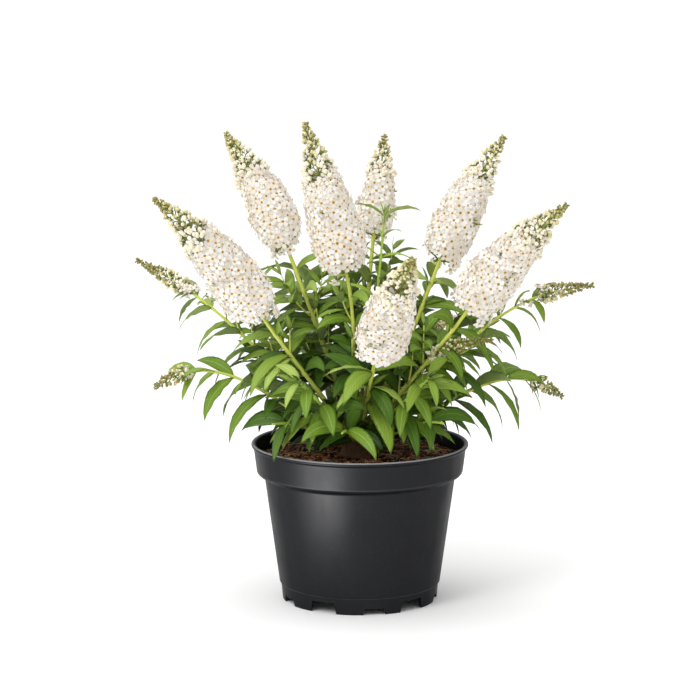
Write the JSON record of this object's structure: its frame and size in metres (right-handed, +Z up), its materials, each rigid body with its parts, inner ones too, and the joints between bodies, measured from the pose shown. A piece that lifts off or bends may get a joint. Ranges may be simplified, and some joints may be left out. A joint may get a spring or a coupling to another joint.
{
  "type": "potted butterfly bush",
  "caption": "Potted flowering shrub: arching leafy stems from one woody foot, most ending in long spikes of small white blossom, in a tapered round nursery pot.",
  "frame": {"origin": "on the pot's axis at the ground, under the flat foot ring, which is the bottom centre of the box", "axes": "+Z up, -Y towards the viewer of the picture, +X to that viewer's right"},
  "size_m": [0.4154, 0.3376, 0.437],
  "materials": {
    "pot_plastic": "black moulded polypropylene, satin",
    "compost": "moist peat-free compost with bark chips and fibre",
    "bark": "thin peeling bark, matt",
    "green_stem": "young green stem, matt",
    "foliage": "leaves with a soft waxy sheen, paler beneath",
    "blossom": "white petals with orange-yellow throats"
  },
  "bodies": {
    "root": {"back_left_blossom": "blossom", "back_left_leaves": "foliage", "back_left_low_leaves": "foliage", "back_left_low_stem": "green_stem", "back_left_stem": "green_stem", "back_middle_blossom": "blossom", "back_middle_leaves": "foliage", "back_middle_stem": "green_stem", "back_right_blossom": "blossom", "back_right_leaves": "foliage", "back_right_low_leaves": "foliage", "back_right_low_stem": "green_stem", "back_right_stem": "green_stem", "back_tall_blossom": "blossom", "back_tall_leaves": "foliage", "back_tall_stem": "green_stem", "compost": "compost", "far_left_high_leaves": "foliage", "far_left_high_stem": "green_stem", "far_left_low_leaves": "foliage", "far_left_low_stem": "green_stem", "far_right_high_leaves": "foliage", "far_right_high_stem": "green_stem", "far_right_low_leaves": "foliage", "far_right_low_stem": "green_stem", "front_middle_blossom": "blossom", "front_middle_leaves": "foliage", "front_middle_stem": "green_stem", "left_back_blossom": "blossom", "left_back_leaves": "foliage", "left_back_stem": "green_stem", "left_front_blossom": "blossom", "left_front_leaves": "foliage", "left_front_stem": "green_stem", "left_tall_blossom": "blossom", "left_tall_leaves": "foliage", "left_tall_stem": "green_stem", "middle_tall_blossom": "blossom", "middle_tall_leaves": "foliage", "middle_tall_stem": "green_stem", "pot": "pot_plastic", "right_back_blossom": "blossom", "right_back_leaves": "foliage", "right_back_stem": "green_stem", "right_front_blossom": "blossom", "right_front_leaves": "foliage", "right_front_stem": "green_stem", "right_tall_blossom": "blossom", "right_tall_leaves": "foliage", "right_tall_stem": "green_stem", "rootstock": "bark", "skirt_back_leaves": "foliage", "skirt_back_left_leaves": "foliage", "skirt_back_right_leaves": "foliage", "skirt_front_leaves": "foliage", "skirt_left_leaves": "foliage", "skirt_right_leaves": "foliage", "young_front_left_leaves": "foliage", "young_front_right_leaves": "foliage", "young_middle_leaves": "foliage"}
  },
  "joints": []
}
